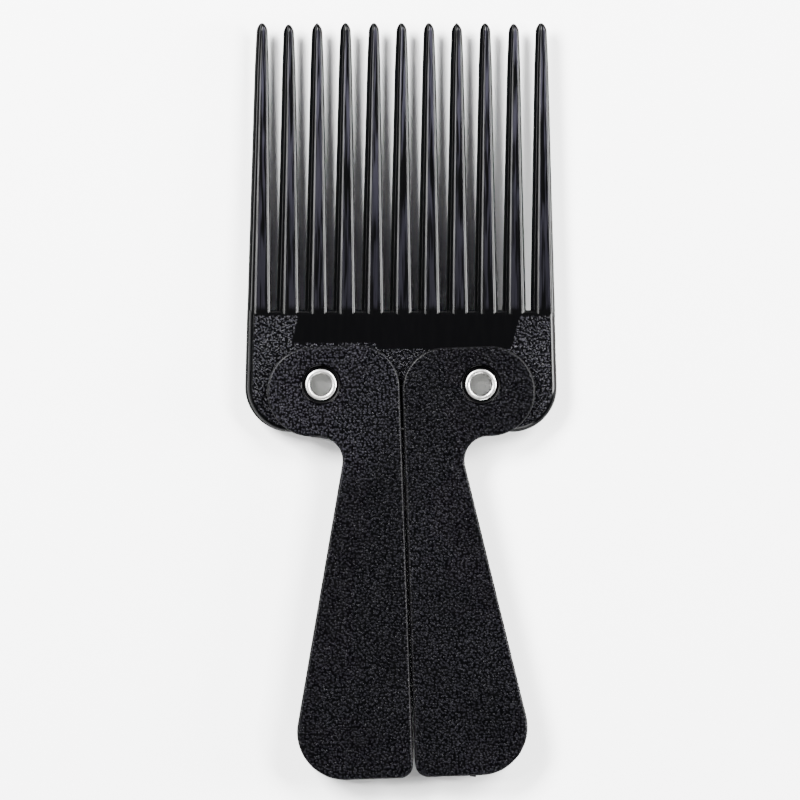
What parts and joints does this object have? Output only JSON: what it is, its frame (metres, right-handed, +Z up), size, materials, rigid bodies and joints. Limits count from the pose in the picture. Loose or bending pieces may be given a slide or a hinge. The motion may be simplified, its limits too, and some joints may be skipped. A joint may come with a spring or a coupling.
{
  "type": "folding afro comb",
  "caption": "Wide afro comb head with long tapered teeth and a pair of flared hollow handles that fold up over the teeth on metal eyelets.",
  "frame": {"origin": "centre of the bounding box in X and Y, on the surface the comb lies on, with both handles open as at rest", "axes": "+Y from the handles to the tips of the teeth, +Z up out of the surface the comb lies on, +X to the right seen from above with the teeth pointing away"},
  "size_m": [0.078, 0.1894, 0.008],
  "materials": {
    "head_black_plastic": "polished teeth and rim, pebble grain on the plate",
    "left_handle_black_plastic": "fine moulded pebble grain",
    "right_handle_black_plastic": "fine moulded pebble grain",
    "left_eyelet_nickel": "bright nickel plate",
    "right_eyelet_nickel": "bright nickel plate"
  },
  "bodies": {
    "head": {"comb_head": "head_black_plastic", "eyelet_left": "left_eyelet_nickel", "eyelet_right": "right_eyelet_nickel"},
    "left_handle": {"handle_left": "left_handle_black_plastic"},
    "right_handle": {"handle_right": "right_handle_black_plastic"}
  },
  "joints": [
    {"name": "left_handle_fold", "type": "hinge", "parent": "head", "child": "left_handle", "pos_m": [-0.02, 0.00415, 0.004], "axis": [0, 0, -1], "range_deg": [0, 182]},
    {"name": "right_handle_fold", "type": "hinge", "parent": "head", "child": "right_handle", "pos_m": [0.02, 0.00415, 0.004], "axis": [0, 0, 1], "range_deg": [0, 178]}
  ]
}
